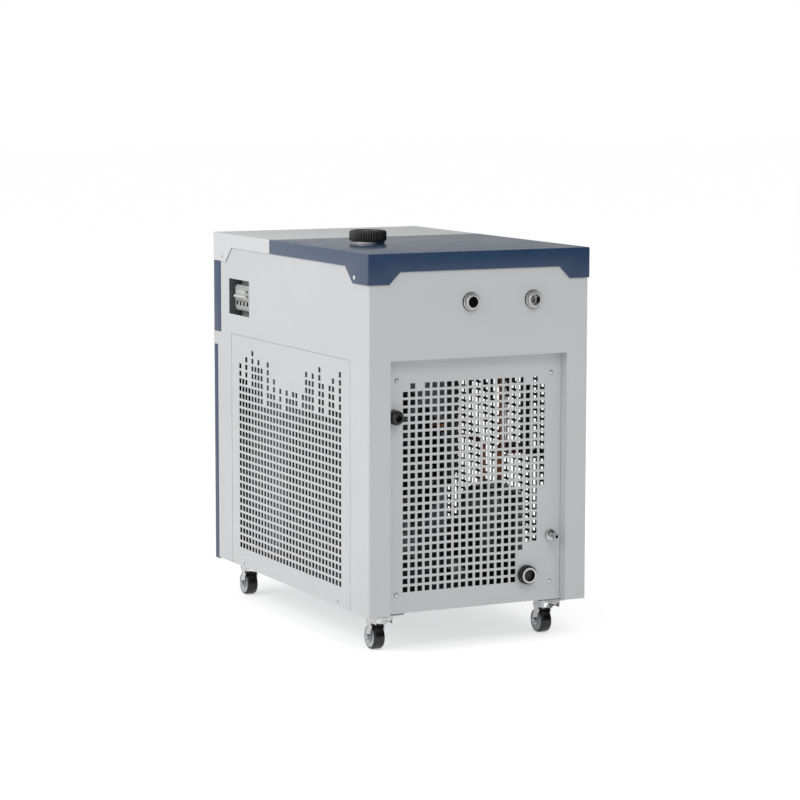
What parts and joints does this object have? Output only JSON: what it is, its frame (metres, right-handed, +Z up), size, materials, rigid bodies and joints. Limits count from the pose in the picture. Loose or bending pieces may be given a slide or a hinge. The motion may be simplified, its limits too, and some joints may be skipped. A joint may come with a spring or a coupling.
{
  "type": "recirculating chiller",
  "caption": "Recirculating chiller: white cabinet with perforated sides, blue skirted cover with filler cap, rear hose ports, air intake louvres and swivel casters.",
  "frame": {"origin": "on the floor under the middle of the whole machine", "axes": "+Z up, -Y out of the front with the display and the air intake, +Y out of the rear with the hose ports, +X towards the side with the breaker window"},
  "size_m": [0.4936, 0.8044, 0.814],
  "materials": {
    "black_plastic": "satin black moulding",
    "black_rubber": "smooth black rubber",
    "blue_moulding": "satin dark blue moulding",
    "blue_paint": "glossy dark blue powder coat",
    "breaker_case": "light grey moulding",
    "bright_steel": "bright turned steel",
    "compressor_black": "gloss black paint",
    "copper": "bare copper",
    "dark_display": "glossy smoked panel",
    "fin_aluminium": "mill finish",
    "grey_moulding": "satin grey moulding",
    "hub_plastic": "grey moulding",
    "motor_grey": "grey paint",
    "tank_steel": "welded stainless",
    "toggle_white": "glossy white moulding",
    "tyre_rubber": "dull black rubber",
    "white_paint": "satin powder coat",
    "zinc_plate": "zinc plated"
  },
  "bodies": {
    "cabinet": {"base_pan": "zinc_plate", "cabinet_wrap": "white_paint", "equipment_shelf": "zinc_plate", "front_panel": "white_paint", "top_cover_rear": "blue_paint", "top_cover_front": "white_paint", "control_bezel": "blue_moulding", "display_window": "dark_display", "intake_frame": "blue_moulding", "intake_louvres": "grey_moulding", "side_grille_right": "white_paint", "side_grille_left": "white_paint", "rear_grille": "white_paint", "breaker_tray": "zinc_plate", "breaker_body": "breaker_case", "filler_neck": "bright_steel", "outlet_port": "bright_steel", "return_port": "bright_steel", "port_locknuts": "bright_steel", "drain_nipple": "bright_steel", "service_socket": "black_plastic", "socket_insert": "black_plastic", "mains_gland": "black_plastic", "fasteners": "zinc_plate", "condenser_frame": "zinc_plate", "condenser_core": "fin_aluminium", "fan_shroud": "zinc_plate", "fan_motor": "motor_grey", "compressor": "compressor_black", "compressor_grommets": "black_rubber", "refrigerant_pipes": "copper", "filter_drier": "copper", "reservoir_tank": "tank_steel", "plate_evaporator": "tank_steel", "pump": "motor_grey", "water_hoses": "black_rubber", "control_box": "zinc_plate", "caster_plates": "zinc_plate"},
    "fan": {"fan_blades": "black_plastic"},
    "seal": {"filler_seal": "black_rubber"},
    "cap": {"filler_cap": "black_plastic"},
    "toggle": {"breaker_toggle": "toggle_white"},
    "button": {"test_button": "black_plastic"},
    "fork_1": {"caster_fork_1": "zinc_plate", "caster_axle_1": "zinc_plate"},
    "wheel_1": {"caster_hub_1": "hub_plastic", "caster_tyre_1": "tyre_rubber"},
    "fork_2": {"caster_fork_2": "zinc_plate", "caster_axle_2": "zinc_plate"},
    "wheel_2": {"caster_hub_2": "hub_plastic", "caster_tyre_2": "tyre_rubber"},
    "fork_3": {"caster_fork_3": "zinc_plate", "caster_axle_3": "zinc_plate"},
    "wheel_3": {"caster_hub_3": "hub_plastic", "caster_tyre_3": "tyre_rubber"},
    "fork_4": {"caster_fork_4": "zinc_plate", "caster_axle_4": "zinc_plate"},
    "wheel_4": {"caster_hub_4": "hub_plastic", "caster_tyre_4": "tyre_rubber"}
  },
  "joints": [
    {"name": "fan_spin", "type": "hinge", "parent": "cabinet", "child": "fan", "pos_m": [0, -0.14925, 0.295], "axis": [0, -1, 0], "continuous": true},
    {"name": "cap_lift", "type": "slide", "parent": "cabinet", "child": "seal", "axis": [0, 0, 1], "range_m": [0, 0.06]},
    {"name": "cap_turn", "type": "hinge", "parent": "seal", "child": "cap", "pos_m": [0.106, 0.10475, 0.797], "axis": [0, 0, 1], "continuous": true},
    {"name": "breaker_throw", "type": "hinge", "parent": "cabinet", "child": "toggle", "pos_m": [0.224, -0.24775, 0.648], "axis": [0, 1, 0], "range_deg": [0, 66]},
    {"name": "test_press", "type": "slide", "parent": "cabinet", "child": "button", "axis": [-1, 0, 0], "range_m": [0, 0.002], "stiffness_N_per_m": 200, "springref_m": -0.001},
    {"name": "caster_swivel_1", "type": "hinge", "parent": "cabinet", "child": "fork_1", "pos_m": [0.188, 0.32975, 0.069], "axis": [0, 0, 1], "continuous": true},
    {"name": "caster_roll_1", "type": "hinge", "parent": "fork_1", "child": "wheel_1", "pos_m": [0.188, 0.30575, 0.025], "axis": [1, 0, 0], "continuous": true},
    {"name": "caster_swivel_2", "type": "hinge", "parent": "cabinet", "child": "fork_2", "pos_m": [-0.188, 0.32975, 0.069], "axis": [0, 0, 1], "continuous": true},
    {"name": "caster_roll_2", "type": "hinge", "parent": "fork_2", "child": "wheel_2", "pos_m": [-0.188, 0.30575, 0.025], "axis": [1, 0, 0], "continuous": true},
    {"name": "caster_swivel_3", "type": "hinge", "parent": "cabinet", "child": "fork_3", "pos_m": [0.188, -0.29825, 0.069], "axis": [0, 0, 1], "continuous": true},
    {"name": "caster_roll_3", "type": "hinge", "parent": "fork_3", "child": "wheel_3", "pos_m": [0.188, -0.32225, 0.025], "axis": [1, 0, 0], "continuous": true},
    {"name": "caster_swivel_4", "type": "hinge", "parent": "cabinet", "child": "fork_4", "pos_m": [-0.188, -0.29825, 0.069], "axis": [0, 0, 1], "continuous": true},
    {"name": "caster_roll_4", "type": "hinge", "parent": "fork_4", "child": "wheel_4", "pos_m": [-0.188, -0.32225, 0.025], "axis": [1, 0, 0], "continuous": true}
  ]
}
